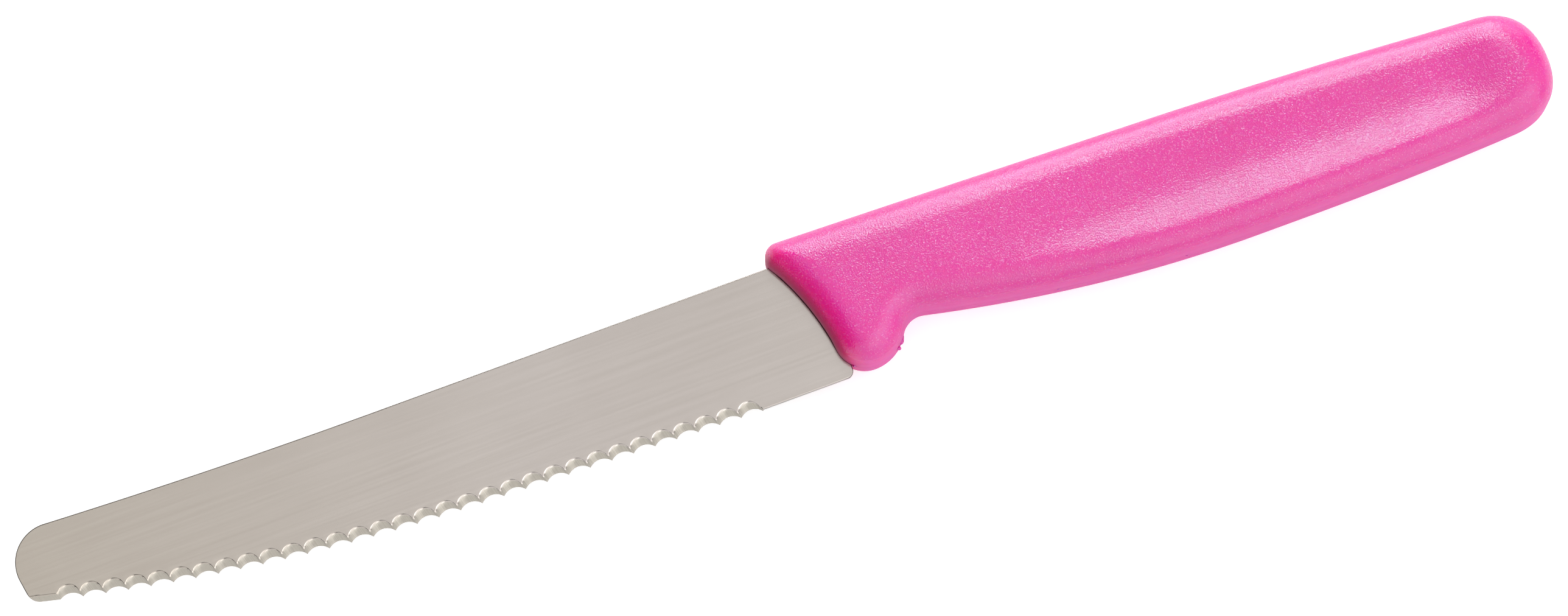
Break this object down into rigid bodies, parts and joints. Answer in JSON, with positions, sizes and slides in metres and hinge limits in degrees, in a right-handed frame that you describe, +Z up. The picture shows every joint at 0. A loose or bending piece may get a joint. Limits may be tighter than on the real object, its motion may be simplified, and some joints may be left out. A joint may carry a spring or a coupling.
{
  "type": "snack knife",
  "caption": "Snack knife with a round-nosed steel blade, a serrated edge ground from one side, and a moulded pink plastic handle with a finger guard and notch.",
  "frame": {"origin": "Under the middle of the knife's box, on the surface that the knife lies on.", "axes": "+X runs from the tip of the blade to the butt of the handle, +Y points from the cutting edge to the spine, and +Z points up, square to the ground face of the blade."},
  "size_m": [0.2138, 0.0204, 0.0124],
  "materials": {
    "steel": "satin, finely brushed along the blade",
    "pink_plastic": "satin, fine spark-eroded grain"
  },
  "bodies": {
    "root": {"blade": "steel", "handle": "pink_plastic"}
  },
  "joints": []
}
